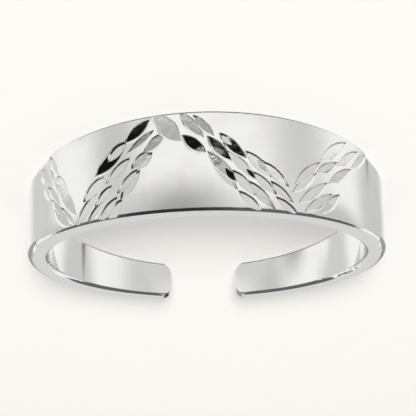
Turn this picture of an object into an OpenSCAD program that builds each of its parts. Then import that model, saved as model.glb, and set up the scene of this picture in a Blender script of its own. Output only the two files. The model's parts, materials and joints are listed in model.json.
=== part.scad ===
// An open, adjustable toe ring of polished silver-coloured metal.
// The whole ring is one piece: a band that is high and flat-faced at the front and narrows evenly
// to two rounded tips at the back. Rows of almond-shaped cuts cross the front face as a zigzag.
// The ring lies on one flank on the plane z = 0, with its front towards -Y.

/* [Band] */
// Diameter of the round opening for the toe
bore_d = 15.4; // [13:0.1:18]
// Thickness of the metal in the middle of the front
wall_front = 1.15; // [1:0.05:1.6]
// Thickness of the metal at the tips
wall_back = 0.95; // [0.8:0.05:1.4]
// Height of the band in the middle of the front
front_h = 4.9; // [4:0.1:7]
// Height that the band tapers to at the very back
back_h = 1.55; // [1.3:0.05:2.4]
// Gap between the two tips
gap_w = 3.3; // [2:0.1:6]

/* [Edges] */
// Radius of the rounded outer edges of the shanks
shank_edge_r = 0.35; // [0.2:0.05:0.45]
// Radius of the rounded edges of the bore
bore_edge_r = 0.25; // [0.15:0.05:0.35]
// Width of the fine bevel along the edges of the front face
face_bevel = 0.1; // [0.05:0.01:0.15]
// Radius of the tips' corners, seen from behind
tip_corner_r = 0.65; // [0.2:0.05:0.65]
// Radius of the tips' upright edges, seen from above
tip_edge_r = 0.12; // [0.1:0.02:0.3]

/* [Front face] */
// How far the front face stands out over the shanks
face_raise = 0.06; // [0.03:0.01:0.12]
// Turn from the middle of the front to each end of the front face, in degrees
face_turn = 71.5; // [66:0.5:76]
// Radius of the curved ends of the front face
face_end_r = 4.5; // [4:0.1:6]
// How far above the middle of the band the ends of the front face reach furthest
face_end_up = 0.7; // [0:0.1:1]

/* [Cuts] */
// Depth of a cut's flat floor under the face, in its middle
cut_depth = 0.09; // [0.06:0.01:0.12]
// Width of a plain cut in its middle
cut_w = 0.58; // [0.48:0.02:0.64]
// Slope of a cut's walls against its floor, in degrees
wall_slope = 50; // [35:1:60]

/* [Hidden] */
$fn = 180;
METAL = [0.86, 0.86, 0.84];

outer_r = (bore_d + wall_front + wall_back) / 2;
shank_r = outer_r - face_raise;
bore_r = bore_d / 2;
// The bore lies a little behind the middle of the outside, so the front wall is the thicker one
bore_y = (wall_front - wall_back) / 2;
taper = atan((front_h - back_h) / 2 / (2 * outer_r));
mid_half_h = (front_h + back_h) / 4;
// Length that makes a cutting shape reach well past the metal
past = 1;
reach = outer_r + 2 * past;
// How far an edge's rounding reaches past both of its faces, so that it crosses them cleanly
blend = 0.01;

// Each row is one cut, from its first end to its second. A turn is in degrees round the band from
// the middle of the front, and a height is a share of half the band's height there: -1 is the lower
// edge and 1 the upper edge. The width is a share of cut_w and the depth a share of cut_depth. The
// tilt turns the floor round the cut's long axis until it looks upwards by that many degrees.
TURN_1 = 0;
HEIGHT_1 = 1;
TURN_2 = 2;
HEIGHT_2 = 3;
WIDTH = 4;
DEPTH = 5;
TILT = 6;
LEG_1 = [
    [ 65.0, -0.82,  59.0, -0.30, 1.1, 1.0,  4],
    [ 63.0, -0.47,  58.5,  0.15, 0.8, 1.0,  4],
    [ 58.8, -0.97,  53.3, -0.28, 0.8, 1.0,  4],
    [ 57.8, -0.60,  53.8,  0.12, 0.6, 1.0,  4],
    [ 59.8, -0.23,  52.4,  0.38, 0.8, 1.0,  5],
    [ 54.8, -0.40,  48.2,  0.27, 0.9, 1.0,  4],
    [ 58.0,  0.11,  50.5,  0.70, 0.8, 1.0,  6],
    [ 54.5, -0.17,  44.5,  0.80, 1.2, 1.0,  5],
    [ 56.5,  0.40,  47.5,  0.98, 1.0, 1.0,  5],
    [ 52.5,  0.42,  45.5,  0.97, 0.6, 1.0,  3],
];
LEG_2 = [
    [ 45.3,  1.03,  36.2,  0.37, 1.0, 1.0,  5],
    [ 42.0,  0.53,  33.6,  0.06, 1.1, 1.0,  4],
    [ 37.5,  0.05,  25.6, -0.53, 1.3, 1.0, 14],
    [ 33.2, -0.20,  25.6, -0.56, 1.0, 1.4,  3],
    [ 27.0, -0.50,  17.9, -0.92, 1.0, 1.0, 14],
    [ 41.0,  1.04,  33.6,  0.55, 0.6, 1.0,  5],
    [ 37.3,  0.69,  30.8,  0.29, 0.8, 1.0,  4],
    [ 33.3,  0.26,  24.4, -0.21, 0.9, 1.0,  5],
    [ 26.0, -0.29,  16.4, -0.70, 0.6, 1.0,  9],
    [ 36.6,  1.09,  28.8,  0.55, 0.9, 1.0,  5],
    [ 29.2,  0.52,  22.0,  0.05, 0.8, 1.0,  4],
    [ 24.5,  0.07,  18.5, -0.28, 0.9, 1.0,  5],
    [ 20.5, -0.23,  13.0, -0.62, 0.9, 1.0,  6],
    [ 33.2,  1.15,  27.4,  0.62, 1.0, 1.0,  2],
    [ 28.2,  0.66,  21.3,  0.08, 0.9, 1.0,  3],
    [ 22.3,  0.08,  17.4, -0.24, 0.8, 1.0,  3],
];
LEG_3 = [
    [ 17.2, -1.02,   8.5, -0.38, 1.6, 1.0,  8],
    [  9.4, -1.00,   1.5, -0.44, 1.0, 1.0,  7],
    [  5.0, -0.92,  -1.5, -0.47, 0.8, 1.0,  8],
    [ -2.8, -0.54, -11.2, -0.03, 1.0, 1.0, 14],
    [ -2.8, -0.54,  -7.2, -0.28, 0.7, 1.2,  4],
    [-10.5, -0.21, -19.2,  0.32, 1.0, 1.0,  5],
    [-14.0, -0.06, -18.6,  0.22, 0.8, 1.0,  9],
    [-16.0, -0.02, -24.5,  0.47, 0.9, 1.0,  4],
    [  1.0, -0.49,  -6.8,  0.04, 1.0, 1.0, 14],
    [ -4.8, -0.22, -14.0,  0.38, 0.9, 1.0,  5],
    [-10.4,  0.12, -14.0,  0.38, 0.6, 1.0, 14],
    [-12.5,  0.20, -20.5,  0.66, 0.8, 1.0,  5],
    [-18.0,  0.36, -26.0,  0.78, 0.7, 1.0,  4],
    [  8.6, -0.52,   1.0, -0.14, 1.1, 1.0, 14],
    [  1.0, -0.19,  -8.0,  0.45, 1.0, 1.0,  7],
    [ -4.0,  0.13,  -8.0,  0.45, 0.8, 1.0, 14],
    [ -6.5,  0.19, -13.8,  0.72, 0.9, 1.0,  5],
    [-11.2,  0.39, -19.8,  0.97, 0.9, 1.0,  6],
    [-19.5,  0.67, -28.0,  1.05, 0.7, 1.0,  4],
    [ -0.5,  0.06,  -8.2,  0.61, 0.8, 1.0,  3],
    [ -8.0,  0.60, -16.0,  1.05, 0.8, 1.0,  3],
];
LEG_4 = [
    [-26.0,  0.39, -36.5, -0.24, 0.9, 1.0,  4],
    [-35.5, -0.22, -48.5, -0.93, 1.1, 1.0,  4],
    [-25.0,  0.58, -35.0,  0.02, 0.8, 1.0,  6],
    [-33.5,  0.08, -43.8, -0.36, 0.8, 1.0,  4],
    [-42.5, -0.22, -54.2, -0.86, 0.9, 1.0,  6],
    [-27.0,  0.78, -39.2,  0.17, 0.9, 1.0,  6],
    [-38.5,  0.23, -50.2, -0.34, 0.9, 1.0,  5],
    [-49.5, -0.32, -60.5, -0.97, 0.8, 1.0,  5],
    [-29.0,  0.95, -41.0,  0.39, 0.9, 1.0,  4],
    [-35.5,  0.92, -44.0,  0.36, 0.9, 1.0,  2],
];
CUTS = concat(LEG_1, LEG_2, LEG_3, LEG_4);

// Half the band's height at a place on the outside, by its turn from the middle of the front
function half_h(turn) = front_h / 2 - outer_r * (1 - cos(turn)) * tan(taper);

// Stands its children on the upper flank: its plane is z = 0, and the ring's axis passes the origin
module on_upper_flank() {
    translate([0, 0, mid_half_h])
        rotate([-taper, 0, 0])
            children();
}

// Does the same to both flanks
module on_both_flanks() {
    on_upper_flank() children();
    mirror([0, 0, 1]) on_upper_flank() children();
}

// Everything between the two flanks, which close in evenly towards the back
module between_flanks() {
    front = -reach;
    back = reach;
    front_z = mid_half_h - front * tan(taper);
    back_z = mid_half_h - back * tan(taper);
    rotate([90, 0, 90])
        linear_extrude(2 * reach, center = true)
            polygon([[front, -front_z], [back, -back_z], [back, back_z], [front, front_z]]);
}

// The part of space that the front face takes up: a long shape with curved ends, seen from the front
module face_outline() {
    end_x = outer_r * sin(face_turn);
    rotate([90, 0, 0])
        linear_extrude(reach) {
            square([2 * (end_x - face_end_r), 2 * front_h], center = true);
            for (side = [-1, 1])
                translate([side * (end_x - face_end_r), face_end_up])
                    circle(r = face_end_r);
        }
}

// The band before its edges are rounded: the raised front face and the shanks, with the bore
module blank() {
    difference() {
        intersection() {
            union() {
                cylinder(r = shank_r, h = 2 * front_h, center = true);
                intersection() {
                    cylinder(r = outer_r, h = 2 * front_h, center = true);
                    face_outline();
                }
            }
            between_flanks();
        }
        translate([0, bore_y, 0])
            cylinder(r = bore_r, h = 3 * front_h, center = true);
    }
}

// The area that comes off a corner to round it: the corner is the origin, its metal left of and below it
module corner_waste(r) {
    centre = blend - r;
    difference() {
        translate([centre, centre])
            square(r + past);
        translate([centre, centre])
            circle(r = r);
    }
}

// What comes off a flank's outer edge to round it, behind the front face only
module shank_edge_waste() {
    // The wall meets the sloping flank in a long circle, and its cutter is a true one round that
    stretch = shank_r * (1 / cos(taper) - 1);
    difference() {
        on_both_flanks()
            translate([0, stretch / 2 + shank_edge_r * tan(taper), 0])
                rotate_extrude()
                    translate([shank_r + stretch / 2, 0])
                        corner_waste(shank_edge_r);
        face_outline();
    }
}

// What comes off the edges of the bore to round them
module bore_edge_waste() {
    on_both_flanks()
        translate([0, bore_y / cos(taper) + bore_edge_r * tan(taper), 0])
            rotate_extrude()
                translate([bore_r, 0])
                    mirror([1, 0])
                        corner_waste(bore_edge_r);
}

// What comes off the front face's long edges to bevel them: it passes clear of the shanks' rounder edges
module face_bevel_waste() {
    on_both_flanks()
        rotate_extrude()
            polygon([
                [outer_r - face_bevel - past, past],
                [outer_r + past, -face_bevel - past],
                [outer_r + past, past],
            ]);
}

// What comes off between the two tips
module gap_waste() {
    translate([-gap_w / 2, 0, -front_h])
        cube([gap_w, reach, 2 * front_h]);
}

// Repeats its children on the other tip
module on_both_tips() {
    children();
    mirror([1, 0, 0]) children();
}

// What comes off one tip's upper and lower corner
module tip_corner_waste() {
    on_both_flanks()
        rotate([-90, 0, 0])
            linear_extrude(reach)
                translate([gap_w / 2, 0])
                    rotate(180)
                        corner_waste(tip_corner_r);
}

// What comes off one upright edge of a tip, where its end meets a round wall of the given radius
module tip_edge_waste(wall_r, wall_y, edge_r, outward) {
    centre_x = gap_w / 2 + edge_r - blend;
    centre_r = wall_r - outward * (edge_r - blend);
    centre_y = sqrt(pow(centre_r, 2) - pow(centre_x, 2));
    far_r = wall_r + outward * past;
    far_point = [centre_x, centre_y] * far_r / centre_r;
    translate([0, wall_y, -front_h])
        linear_extrude(2 * front_h)
            difference() {
                polygon([
                    [gap_w / 2 - past, centre_y],
                    [centre_x, centre_y],
                    far_point,
                    [gap_w / 2 - past, far_point[1]],
                ]);
                translate([centre_x, centre_y])
                    circle(r = edge_r);
            }
}

// One long side of a cut: its sloping wall is part of a wide cone, and its floor is the cone's end
module cut_side(side, side_r, half_w, depth) {
    over = 2 * cut_depth;
    translate([0, side * (side_r - half_w), -depth])
        cylinder(
            h = depth + over,
            r1 = side_r - depth / tan(wall_slope),
            r2 = side_r + over / tan(wall_slope)
        );
}

// One cut: an almond-shaped dip whose flat floor lies between two curved walls
module cut(row) {
    turn = (row[TURN_1] + row[TURN_2]) / 2;
    z_1 = row[HEIGHT_1] * half_h(row[TURN_1]);
    z_2 = row[HEIGHT_2] * half_h(row[TURN_2]);
    across = 2 * outer_r * sin((row[TURN_2] - row[TURN_1]) / 2);
    rise = z_2 - z_1;
    half_l = norm([across, rise]) / 2;
    half_w = row[WIDTH] * cut_w / 2;
    side_r = (pow(half_l, 2) + pow(half_w, 2)) / (2 * half_w);
    rotate([0, 0, turn])
        translate([0, -outer_r, (z_1 + z_2) / 2])
            rotate([0, -atan(rise / across), 0])
                rotate([90 - row[TILT], 0, 0])
                    intersection() {
                        cut_side(-1, side_r, half_w, row[DEPTH] * cut_depth);
                        cut_side(1, side_r, half_w, row[DEPTH] * cut_depth);
                    }
}

// The band opened at the back, with its two tips rounded
module open_band() {
    difference() {
        difference() {
            difference() {
                blank();
                gap_waste();
            }
            on_both_tips() {
                tip_edge_waste(shank_r, 0, tip_edge_r, 1);
                tip_edge_waste(bore_r, bore_y, tip_edge_r, -1);
            }
        }
        on_both_tips() tip_corner_waste();
    }
}

// The open band with all its long edges rounded or bevelled
module eased_band() {
    difference() {
        difference() {
            open_band();
            shank_edge_waste();
            bore_edge_waste();
        }
        face_bevel_waste();
    }
}

// The finished ring, standing level on its own axis
module level_ring() {
    difference() {
        eased_band();
        for (row = CUTS)
            cut(row);
    }
}

// The ring at rest: it leans back until its lower flank lies flat, midway between its front and tips
module toe_ring() {
    tip_turn = asin((gap_w / 2 + tip_edge_r) / (shank_r - tip_edge_r));
    tip_half_h = half_h(180 - tip_turn) - shank_edge_r;
    front_reach = outer_r * cos(taper) + (front_h / 2 - face_bevel) * sin(taper);
    back_reach = shank_r * cos(tip_turn) * cos(taper) + tip_half_h * sin(taper);
    color(METAL)
        translate([0, (front_reach - back_reach) / 2, mid_half_h * cos(taper)])
            rotate([-taper, 0, 0])
                level_ring();
}

toe_ring();
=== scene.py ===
# %% [markdown]
# # A polished toe ring
# The thing on the table is an open, adjustable toe ring: a band of polished silver that is high
# and flat-faced in front, narrows to two rounded tips behind, and is crossed by a zigzag of
# almond-shaped cuts. The packed model is loaded as a fixed frame, and everything below is built
# round it, in metres.

# %% Load the frame
import json
import math

import bmesh
import bpy
from mathutils import Matrix, Vector

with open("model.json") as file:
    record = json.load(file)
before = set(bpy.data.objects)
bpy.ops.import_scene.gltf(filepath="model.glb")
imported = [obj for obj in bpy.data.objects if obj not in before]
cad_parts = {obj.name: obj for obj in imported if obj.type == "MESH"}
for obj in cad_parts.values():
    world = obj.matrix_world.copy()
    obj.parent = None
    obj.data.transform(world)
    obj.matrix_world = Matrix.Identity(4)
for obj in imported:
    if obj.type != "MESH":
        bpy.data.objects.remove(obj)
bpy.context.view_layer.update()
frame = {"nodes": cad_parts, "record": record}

MM = 0.001
scene = bpy.context.scene
print("the frame has", sorted(frame["nodes"]))

# %% [markdown]
# ## Where the ring is
# The ring lies on one of its sloping flanks, so its own axis leans back a little. The clamp mount
# in the record gives the axis of the bore. The wall is thicker in front, so the bore lies a little
# behind the middle of the ring's outside, and that middle is what the camera looks at.

# %% The ring's own axis and centre
BORE_OFFSET = 0.1 * MM
bore = next(m for m in frame["record"]["mounts"] if m["name"] == "toe_bore")
ring_axis = Vector(bore["axis"]).normalized()
ring_side = Vector((1, 0, 0))
ring_back = ring_axis.cross(ring_side)
ring_centre = Vector(bore["pos_m"]) - BORE_OFFSET * ring_back
ring_turn = Matrix((ring_side, ring_back, ring_axis)).transposed()
lean = math.asin(ring_axis.y)
print("the ring leans back by", round(math.degrees(lean), 2), "degrees; centre", ring_centre)

# %% [markdown]
# ## The camera
# A real product photo of a small ring is taken from some distance with a long lens, so its sides
# hardly converge. The photo was compared with a plain tapered band until the edges fell on each
# other: that gave the distance, the height above the ring's own middle plane and the focal length.
# The picture is the other way up than the ring lies, so the camera is rolled over by half a turn:
# this is what the minus signs before right and up do.

# %% Camera: the three directions of its view
CAMERA_AZIMUTH = math.radians(1.6)
CAMERA_RISE = math.radians(20.584)
CAMERA_ROLL = math.radians(1.289)
back = Vector((
    math.sin(CAMERA_AZIMUTH) * math.cos(CAMERA_RISE),
    -math.cos(CAMERA_AZIMUTH) * math.cos(CAMERA_RISE),
    math.sin(CAMERA_RISE),
))
side = Vector((math.cos(CAMERA_AZIMUTH), math.sin(CAMERA_AZIMUTH), 0))
over = back.cross(side)
right = -(math.cos(CAMERA_ROLL) * side - math.sin(CAMERA_ROLL) * over)
up = -(math.sin(CAMERA_ROLL) * side + math.cos(CAMERA_ROLL) * over)
back, right, up = (ring_turn @ way for way in (back, right, up))
print("seen from", round(math.degrees(math.asin(back.z)), 2), "degrees above the floor")

# %% Camera: its place and the point it aims at
CAMERA_DISTANCE = 120 * MM
PICTURE_PX = 416
PX_PER_MM = 20.480
CENTRE_PX = Vector((206.29, 227.19))
middle_px = PICTURE_PX / 2
aim = ring_centre + (middle_px - CENTRE_PX.x) / PX_PER_MM * MM * right
aim += (CENTRE_PX.y - middle_px) / PX_PER_MM * MM * up
place = ring_centre + CAMERA_DISTANCE * back
sight = (place - aim).normalized()
level = (right - right.dot(sight) * sight).normalized()
camera_turn = Matrix((level, sight.cross(level), sight)).transposed()
print("the camera aims", round((aim - ring_centre).length / MM, 2), "mm beside the ring's centre")

# %% Camera: the object
SENSOR = 36
CLIP_START = 0.01
CLIP_END = 10
camera_data = bpy.data.cameras.new("camera")
camera_data.sensor_width = SENSOR
camera_data.lens = SENSOR * PX_PER_MM * CAMERA_DISTANCE / MM / PICTURE_PX
camera_data.clip_start = CLIP_START
camera_data.clip_end = CLIP_END
camera = bpy.data.objects.new("camera", camera_data)
camera.matrix_world = Matrix.Translation(place) @ camera_turn.to_4x4()
scene.collection.objects.link(camera)
scene.camera = camera
print("lens", round(camera_data.lens, 1), "mm on a sensor of", SENSOR, "mm")

# %% [markdown]
# ## Sums in a node tree
# A finish is a sum over the place on the metal: how far round the band, how high, how near to a
# cut. Such sums take many small nodes, so this helper writes them as calls. Most calls add one node
# and give back its result, and a plain number goes straight into the node's own socket.

# %% A sheet to write node sums on
class Sheet:
    def __init__(self, tree):
        self.tree = tree

    def put(self, socket, value):
        if isinstance(value, bpy.types.NodeSocket):
            self.tree.links.new(value, socket)
        else:
            socket.default_value = value

    def math(self, operation, *values):
        node = self.tree.nodes.new("ShaderNodeMath")
        node.operation = operation
        for socket, value in zip(node.inputs, values):
            self.put(socket, value)
        return node.outputs[0]

    def length(self, across, along):
        """How long the slanting way is that goes so far across and so far along."""
        squares = (self.math("MULTIPLY", reach, reach) for reach in (across, along))
        return self.math("SQRT", self.math("ADD", *squares))

    def ease(self, value, start, end, first, last):
        """Goes smoothly from first to last while the value goes from start to end."""
        node = self.tree.nodes.new("ShaderNodeMapRange")
        node.interpolation_type = "SMOOTHSTEP"
        for socket, number in zip(node.inputs, (value, start, end, first, last)):
            self.put(socket, number)
        return node.outputs["Result"]

    def mix(self, share, first, last):
        """A number that goes from first to last with the share."""
        node = self.tree.nodes.new("ShaderNodeMix")
        self.put(node.inputs["Factor"], share)
        self.put(node.inputs["A"], first)
        self.put(node.inputs["B"], last)
        return node.outputs["Result"]

    def blend_colours(self, share, first, last):
        """The same for colours. Its sockets share their names with others, so their type is asked."""
        node = self.tree.nodes.new("ShaderNodeMix")
        node.data_type = "RGBA"
        factor, first_socket, last_socket = (
            next(s for s in node.inputs if s.name == name and s.type == kind)
            for name, kind in (("Factor", "VALUE"), ("A", "RGBA"), ("B", "RGBA"))
        )
        self.put(factor, share)
        self.put(first_socket, first)
        self.put(last_socket, last)
        return next(s for s in node.outputs if s.type == "RGBA")

    def point(self, x, y, z):
        node = self.tree.nodes.new("ShaderNodeCombineXYZ")
        for socket, value in zip(node.inputs, (x, y, z)):
            self.put(socket, value)
        return node.outputs[0]

    def split(self, vector):
        node = self.tree.nodes.new("ShaderNodeSeparateXYZ")
        self.put(node.inputs[0], vector)
        return list(node.outputs)

    def noise(self, place, scale, detail):
        """Soft noise from 0 to 1, with so many lumps in each unit of the place."""
        node = self.tree.nodes.new("ShaderNodeTexNoise")
        self.put(node.inputs["Vector"], place)
        self.put(node.inputs["Scale"], scale)
        self.put(node.inputs["Detail"], detail)
        return node.outputs["Fac"]

    def bump(self, height, distance, under):
        """Raises the surface by the height times the distance, on top of the relief under it."""
        node = self.tree.nodes.new("ShaderNodeBump")
        self.put(node.inputs["Height"], height)
        self.put(node.inputs["Distance"], distance)
        self.put(node.inputs["Normal"], under)
        return node.outputs["Normal"]


print("a sheet can", ", ".join(name for name in vars(Sheet) if not name.startswith("_")))

# %% [markdown]
# ## The place on the ring
# Polishing lines run round the band and not along X or Y. The object's own coordinates are moved
# to the ring's centre, turned upright on its axis and counted in millimetres. From these come the
# turn round the band, the height on it and the distance from the axis, which the finish reads.

# %% Silver: a new material and the place on the ring
silver = bpy.data.materials.new("polished silver")
silver.use_nodes = True
silver_sums = Sheet(silver.node_tree)
silver_shader = silver.node_tree.nodes["Principled BSDF"]
object_place = silver.node_tree.nodes.new("ShaderNodeTexCoord").outputs["Object"]
mapping = silver.node_tree.nodes.new("ShaderNodeMapping")
mapping.inputs["Location"].default_value = ring_turn.transposed() @ ring_centre / -MM
mapping.inputs["Rotation"].default_value = (lean, 0, 0)
mapping.inputs["Scale"].default_value = (1 / MM, 1 / MM, 1 / MM)
silver_sums.put(mapping.inputs["Vector"], object_place)
own_place = mapping.outputs[0]
own_x, own_y, height = silver_sums.split(own_place)
turn = silver_sums.math("ARCTAN2", own_x, silver_sums.math("MULTIPLY", own_y, -1))
radius = silver_sums.length(own_x, own_y)
round_band = silver_sums.math("MULTIPLY", turn, radius)
print("silver reads places in the ring's own millimetres")

# %% [markdown]
# ## The polish
# A buffed ring is never a perfect mirror. The wheel leaves hair-fine lines that run round the band,
# the metal under them rolls a little, and handling adds faint smudges where the gloss is duller.
# The lines are noise that is stretched: it changes slowly round the band and quickly across it.

# %% Silver: buffing lines, smudges and the rolling surface
LUMPS_ALONG_A_LINE = 0.5
LINES_PER_MM = 16
SMUDGES_PER_MM = 0.9
SMUDGE_STARTS = 0.45
SMUDGE_IS_FULL = 0.7
ROLLS_PER_MM = 0.6
line_place = silver_sums.point(
    silver_sums.math("MULTIPLY", round_band, LUMPS_ALONG_A_LINE),
    silver_sums.math("MULTIPLY", height, LINES_PER_MM),
    silver_sums.math("MULTIPLY", radius, LINES_PER_MM),
)
buffing = silver_sums.noise(line_place, 1.0, detail=2.0)
smudge_noise = silver_sums.noise(own_place, SMUDGES_PER_MM, detail=4.0)
smudge = silver_sums.ease(smudge_noise, SMUDGE_STARTS, SMUDGE_IS_FULL, 0, 1)
rolling = silver_sums.noise(own_place, ROLLS_PER_MM, detail=1.0)
print("the buffing has about", LINES_PER_MM, "lines in a millimetre")

# %% [markdown]
# ## The floors of the cuts
# The cuts are made after the polishing with a bright tool, so their floors have no buffing lines.
# They have the tool's own fine chatter instead, and they waver, so a floor that is flat in the mesh
# goes from dark to light in its reflection. A place is in a cut where it is on the front and its
# distance from the axis is a little less than the face's own.

# %% Silver: where the cuts are, and what is on their floors
FACE_RADIUS = 8.75
FACE_TURN = math.radians(71)
CUT_BRIM = 0.005
CUT_IS_FULL = 0.03
CUT_DEEPEST = 0.25
CHATTER_PER_MM = 16.0
WAVERS_PER_MM = 1.7
on_front = silver_sums.math("LESS_THAN", silver_sums.math("ABSOLUTE", turn), FACE_TURN)
sunk = silver_sums.ease(radius, FACE_RADIUS - CUT_IS_FULL, FACE_RADIUS - CUT_BRIM, 1, 0)
in_band = silver_sums.math("GREATER_THAN", radius, FACE_RADIUS - CUT_DEEPEST)
in_cut = silver_sums.math("MULTIPLY", silver_sums.math("MULTIPLY", on_front, in_band), sunk)
chatter = silver_sums.noise(own_place, CHATTER_PER_MM, detail=3.0)
waver = silver_sums.noise(own_place, WAVERS_PER_MM, detail=1.0)
print("a cut's floor counts in full from", CUT_IS_FULL, "mm under the face")

# %% [markdown]
# ## The frosty patch
# Beside the top of the zigzag some cuts have a torn, sparkling floor, where the tool skipped. Its
# grains are a tenth of a millimetre and less, so they are a strong bump inside one soft-edged patch.

# %% Silver: the frosty patch
FROST_TURN = math.radians(1)
FROST_HEIGHT = -0.18
FROST_REACH_ROUND = 0.95
FROST_REACH_UP = 0.55
FROST_FULL_SHARE = 0.5
GRAINS_PER_MM = 11.0
frost_way = silver_sums.math("MULTIPLY", silver_sums.math("SUBTRACT", turn, FROST_TURN), FACE_RADIUS)
frost_x = silver_sums.math("DIVIDE", frost_way, FROST_REACH_ROUND)
frost_z = silver_sums.math("DIVIDE", silver_sums.math("SUBTRACT", height, FROST_HEIGHT), FROST_REACH_UP)
frost_away = silver_sums.length(frost_x, frost_z)
frost = silver_sums.math("MULTIPLY", silver_sums.ease(frost_away, FROST_FULL_SHARE, 1.0, 1, 0), in_cut)
grains = silver_sums.noise(own_place, GRAINS_PER_MM, detail=2.0)
print("the frosty patch reaches", FROST_REACH_ROUND, "mm to each side")

# %% [markdown]
# ## Relief
# All these marks are a few hundredths of a millimetre deep at most, so they are bump in the
# material, and the shapes stay in the mesh. Real edges are never quite sharp either: each one shows
# a hair-fine light or dark line. The Bevel node rounds the shading there without a change to the
# mesh. It comes first, and each bump is laid on the relief before it.

# %% Silver: relief
EDGE_RADIUS = 0.035 * MM
ROLLING_DEPTH = 0.0015 * MM
BUFFING_DEPTH = 0.00025 * MM
WAVER_DEPTH = 0.012 * MM
CHATTER_DEPTH = 0.003 * MM
FROST_DEPTH = 0.03 * MM
NO_LINES = 0.5
rounded = silver.node_tree.nodes.new("ShaderNodeBevel")
rounded.inputs["Radius"].default_value = EDGE_RADIUS
relief = silver_sums.bump(rolling, ROLLING_DEPTH, rounded.outputs["Normal"])
relief = silver_sums.bump(silver_sums.mix(in_cut, buffing, NO_LINES), BUFFING_DEPTH, relief)
relief = silver_sums.bump(silver_sums.math("MULTIPLY", waver, in_cut), WAVER_DEPTH, relief)
relief = silver_sums.bump(silver_sums.math("MULTIPLY", chatter, in_cut), CHATTER_DEPTH, relief)
relief = silver_sums.bump(silver_sums.math("MULTIPLY", grains, frost), FROST_DEPTH, relief)
silver_sums.put(silver_shader.inputs["Normal"], relief)
print("edges are shaded as if their radius were", round(EDGE_RADIUS / MM, 3), "mm")

# %% [markdown]
# ## Gloss and colour
# The gloss is high everywhere and a little lower on the lines and smudges. Shade is painted into
# the colour in the nooks: the Ambient Occlusion node tells how open a place is, and the less open
# it is, the darker the metal, so each cut is outlined with a thin painted dark line.

# %% Silver: gloss
BUFFED_ROUGHNESS = (0.04, 0.08)
SMUDGE_ROUGHNESS = 0.03
CUT_ROUGHNESS = 0.05
buffed = silver_sums.mix(buffing, *BUFFED_ROUGHNESS)
roughness = silver_sums.math("ADD", buffed, silver_sums.math("MULTIPLY", smudge, SMUDGE_ROUGHNESS))
roughness = silver_sums.mix(in_cut, roughness, CUT_ROUGHNESS)
silver_sums.put(silver_shader.inputs["Roughness"], roughness)
silver_sums.put(silver_shader.inputs["Metallic"], 1.0)
print("roughness goes from", BUFFED_ROUGHNESS[0], "to", BUFFED_ROUGHNESS[1] + SMUDGE_ROUGHNESS)

# %% Silver: colour, with painted shade in the nooks
NOOK_REACH = 0.07 * MM
NOOK_SAMPLES = 12
NOOK_CLOSED = 0.62
NOOK_OPEN = 0.95
PAINTED_SHADE_SHARE = 0.8
CLEAN_SILVER = (0.935, 0.93, 0.915, 1)
HANDLED_SILVER = (0.915, 0.905, 0.885, 1)
PAINTED_SHADE_COLOUR = (0.12, 0.118, 0.11, 1)
nook = silver.node_tree.nodes.new("ShaderNodeAmbientOcclusion")
nook.samples = NOOK_SAMPLES
nook.inputs["Distance"].default_value = NOOK_REACH
# Painted shade: the less open a place is, the darker its colour, which draws a thin dark line along the
# edges of each cut.
painted_shade = silver_sums.ease(nook.outputs["AO"], NOOK_CLOSED, NOOK_OPEN, PAINTED_SHADE_SHARE, 0)
handled = silver_sums.blend_colours(smudge, CLEAN_SILVER, HANDLED_SILVER)
silver_colour = silver_sums.blend_colours(painted_shade, handled, PAINTED_SHADE_COLOUR)
silver_sums.put(silver_shader.inputs["Base Color"], silver_colour)
print("residue lies within", round(NOOK_REACH / MM, 3), "mm of a nook")

# %% Dress the ring
ring = frame["nodes"]["toe_ring"]
ring.data.materials.clear()
ring.data.materials.append(silver)
print("the ring is dressed in", silver.name, "with", len(silver.node_tree.nodes), "nodes")

# %% [markdown]
# ## How bright a tone is
# The cards and the floor below are chosen as tones on the screen, from 0 to 255. A screen doesn't
# show twice the light for twice the tone: its standard curve has a short straight start and then a
# steep bend. This turns a tone into an amount of light by that curve.

# %% A tone as an amount of light
def light_of(tone):
    share = tone / 255
    return share / 12.92 if share < 0.04 else ((share + 0.055) / 1.055) ** 2.4


print("a tone of 128 is", round(light_of(128), 3), "of full light")

# %% [markdown]
# ## The floor
# The ring lies on a sheet of opal acrylic with a lamp under it, as small jewellery often does in a
# product photo: part of its brightness is its own glow, so shadows on it stay pale. Its surface has
# the faintest mottling. The silver is to see only the light tent, so mirror rays pass the floor by.

# %% Floor: the sheet
FLOOR_HALF = 0.6
bm = bmesh.new()
bmesh.ops.create_grid(bm, x_segments=1, y_segments=1, size=FLOOR_HALF)
floor_mesh = bpy.data.meshes.new("floor")
bm.to_mesh(floor_mesh)
bm.free()
floor = bpy.data.objects.new("floor", floor_mesh)
scene.collection.objects.link(floor)
floor.visible_glossy = False
print("the floor is", 2 * FLOOR_HALF, "m wide")

# %% Floor: opal acrylic
FLOOR_TONES = (251, 250, 246)
MOTTLE_DROP = 2
MOTTLES_PER_M = 150.0
FLOOR_ROUGHNESS = 0.7
FLOOR_SHINE = 0.1
GLOW_SHARE = 0.32
acrylic = bpy.data.materials.new("opal acrylic")
acrylic.use_nodes = True
floor_sums = Sheet(acrylic.node_tree)
floor_shader = acrylic.node_tree.nodes["Principled BSDF"]
floor_place = acrylic.node_tree.nodes.new("ShaderNodeTexCoord").outputs["Object"]
floor_colour = tuple(light_of(tone) for tone in FLOOR_TONES) + (1,)
mottled_colour = tuple(light_of(tone - MOTTLE_DROP) for tone in FLOOR_TONES) + (1,)
mottling = floor_sums.noise(floor_place, MOTTLES_PER_M, detail=3.0)
acrylic_colour = floor_sums.blend_colours(mottling, floor_colour, mottled_colour)
floor_sums.put(floor_shader.inputs["Base Color"], acrylic_colour)
floor_sums.put(floor_shader.inputs["Roughness"], FLOOR_ROUGHNESS)
floor_sums.put(floor_shader.inputs["Specular IOR Level"], FLOOR_SHINE)
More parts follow.
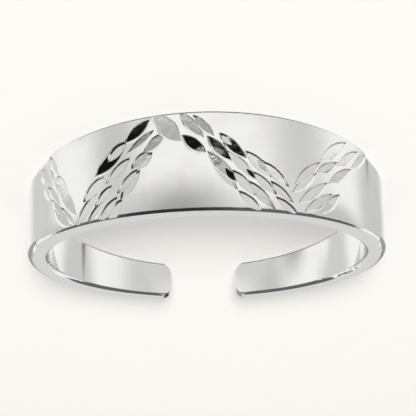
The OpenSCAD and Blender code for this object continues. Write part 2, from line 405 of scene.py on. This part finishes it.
floor_sums.put(floor_shader.inputs["Emission Color"], floor_colour)
floor_sums.put(floor_shader.inputs["Emission Strength"], GLOW_SHARE)
floor.data.materials.append(acrylic)
print("the floor glows with", GLOW_SHARE, "of its colour")

# %% [markdown]
# ## The light tent
# Polished silver has no look of its own: it shows its surroundings. A jeweller's photographer puts a
# ring in a white tent and adds grey and black cards, and each card comes back as a soft band on the
# metal. Here the tent is a sphere that only mirror reflections can see. Its directions are told
# from the ring's own middle: azimuth 0 is in front and grows towards +X, and elevation 0 is level.

# %% The tent
TENT_RADIUS = 40 * MM
TENT_SUBDIVISIONS = 5
bm = bmesh.new()
bmesh.ops.create_icosphere(bm, subdivisions=TENT_SUBDIVISIONS, radius=TENT_RADIUS)
tent_mesh = bpy.data.meshes.new("light tent")
bm.to_mesh(tent_mesh)
bm.free()
tent = bpy.data.objects.new("light tent", tent_mesh)
tent.matrix_world = Matrix.Translation(ring_centre) @ ring_turn.to_4x4()
scene.collection.objects.link(tent)
for ray in ("camera", "diffuse", "transmission", "volume_scatter", "shadow"):
    setattr(tent, "visible_" + ray, False)
print("the tent is a sphere of", len(tent_mesh.polygons), "faces")

# %% Directions on the tent
tent_paint = bpy.data.materials.new("light tent")
tent_paint.use_nodes = True
tent_paint.node_tree.nodes.clear()
tent_sums = Sheet(tent_paint.node_tree)
tent_place = tent_paint.node_tree.nodes.new("ShaderNodeTexCoord").outputs["Object"]
tent_x, tent_y, tent_z = tent_sums.split(tent_place)
to_the_side = tent_sums.math("ARCTAN2", tent_x, tent_sums.math("MULTIPLY", tent_y, -1))
upwards = tent_sums.math("ARCSINE", tent_sums.math("DIVIDE", tent_z, TENT_RADIUS))
azimuth = tent_sums.math("DEGREES", to_the_side)
elevation = tent_sums.math("DEGREES", upwards)
print("the tent's paint reads azimuth and elevation in degrees")

# %% [markdown]
# ## The cards
# Four sets of cards do four jobs. The face cards lie low and come back as the soft grey bands on the
# wide smooth face. The shank cards lie a little lower, where the insides of the two shanks look. The
# level cards fill the flat floors of the cuts, whose tilt decides whether they see a grey card or a
# black one, and the last of them fills the ring's upper flank. The top cards, with one far below and
# behind, draw the dark lines along the face's edges and the cuts' walls. All else stays white, and a
# later card covers an earlier one.

# %% Cards: where they are and what tone they have
ALL_ROUND = 720
# Each card: azimuth, elevation, reach across, reach up, share of its reach that is full, tone
FACE_CARDS = [
    (54, -21, 26, 16, 0.1, 196),
    (-54, -21, 30, 16, 0.1, 202),
    (-122, -18, 30, 13, 0.4, 198),
    (122, -18, 27, 13, 0.4, 203),
    (16, -11.5, 50, 5.8, 0.1, 100),
]
SHANK_CARDS = [
    (-26, -27, 34, 6.5, 0.5, 200),
    (36, -27, 28, 6.5, 0.5, 203),
    (77, -27, 19, 6.5, 0.2, 150),
    (108, -28, 15, 8, 0.5, 239),
    (-113, -27, 3, 9, 0.2, 60),
]
LEVEL_CARDS = [
    (0, -7, ALL_ROUND, 8, 0.4, 208),
    (18, -8.5, 26, 6, 0.4, 150),
    (100, -13.2, 34, 3.6, 0.4, 190),
    (-84, -13.2, 34, 3.6, 0.4, 190),
    (0, 2, ALL_ROUND, 10, 0.6, 60),
    (25, 2, 80, 10, 0.7, 18),
    (-128, -1, 42, 14, 0.5, 155),
    (144, -1, 46, 14, 0.5, 155),
    (180, 11, 36, 9, 0.6, 209),
]
TOP_CARDS = [
    (0, 52, ALL_ROUND, 28, 0.75, 95),
    (15, 48, 75, 28, 0.7, 42),
    (180, -55, 56, 26, 0.5, 100),
]
CARDS = FACE_CARDS + SHANK_CARDS + LEVEL_CARDS + TOP_CARDS
print("the tent has", len(CARDS), "cards")

# %% [markdown]
# ## Painting the cards
# Each card is a soft-edged oval on the sphere. Its share is one in the middle and falls to nothing
# at its reach. The azimuth is wrapped round, so a card may lie across the back. Silver gives back a
# little less light than it gets, so the tent shines brighter by that much and the tones come true.

# %% Cards: paint the tent
HALF_TURN = 180
SILVER_SHARE = 0.92
WHITE_TONE = 239


def card_share(middle, rise, across, upward, full):
    """How much of a card there is in each direction: 1 in its middle, 0 from its edge on."""
    beside = tent_sums.math("WRAP", tent_sums.math("SUBTRACT", azimuth, middle), HALF_TURN, -HALF_TURN)
    above = tent_sums.math("SUBTRACT", elevation, rise)
    away = tent_sums.length(
        tent_sums.math("DIVIDE", beside, across),
        tent_sums.math("DIVIDE", above, upward),
    )
    return tent_sums.ease(away, full, 1, 1, 0)


tent_light = light_of(WHITE_TONE) / SILVER_SHARE
for middle, rise, across, upward, full, tone in CARDS:
    share = card_share(middle, rise, across, upward, full)
    tent_light = tent_sums.mix(share, tent_light, light_of(tone) / SILVER_SHARE)
glow = tent_paint.node_tree.nodes.new("ShaderNodeEmission")
tent_sums.put(glow.inputs["Strength"], tent_light)
output = tent_paint.node_tree.nodes.new("ShaderNodeOutputMaterial")
tent_sums.put(output.inputs["Surface"], glow.outputs[0])
tent.data.materials.append(tent_paint)
print("the tent's paint has", len(tent_paint.node_tree.nodes), "nodes")

# %% [markdown]
# ## Lamp and room
# One soft lamp stands far in front of the ring. It shines at a flatter angle than the camera looks,
# so the shadows of the two shanks reach out on the floor behind them, where the camera sees them.
# The lamp is hidden from mirror rays, because the tent stands in for all that the silver sees. The
# room adds a little even light from everywhere. The Standard view shows each tone as it was chosen.

# %% Lamp
LAMP_DISTANCE = 900 * MM
LAMP_SIZE = 165 * MM
LAMP_RISE = math.radians(20)
LAMP_POWER = 8.4
lamp_data = bpy.data.lights.new("soft lamp", "AREA")
lamp_data.shape = "DISK"
lamp_data.size = LAMP_SIZE
lamp_data.energy = LAMP_POWER
lamp = bpy.data.objects.new("soft lamp", lamp_data)
lamp_way = Vector((0, -math.cos(LAMP_RISE), math.sin(LAMP_RISE)))
lamp.matrix_world = (
    Matrix.Translation(ring_centre + LAMP_DISTANCE * lamp_way)
    @ lamp_way.to_track_quat("Z", "Y").to_matrix().to_4x4()
)
lamp.visible_glossy = False
scene.collection.objects.link(lamp)
print("the lamp has", LAMP_POWER, "W")

# %% Room
ROOM_COLOUR = (1, 1, 0.98, 1)
ROOM_LIGHT = 0.33
world = bpy.data.worlds.new("studio")
scene.world = world
world.use_nodes = True
background = world.node_tree.nodes["Background"]
background.inputs["Color"].default_value = ROOM_COLOUR
background.inputs["Strength"].default_value = ROOM_LIGHT
scene.view_settings.view_transform = "Standard"
print("the room has a light of", ROOM_LIGHT)

# %% [markdown]
# ## Sizes, and the end
# The dressed ring has to stay inside the packed model's box.
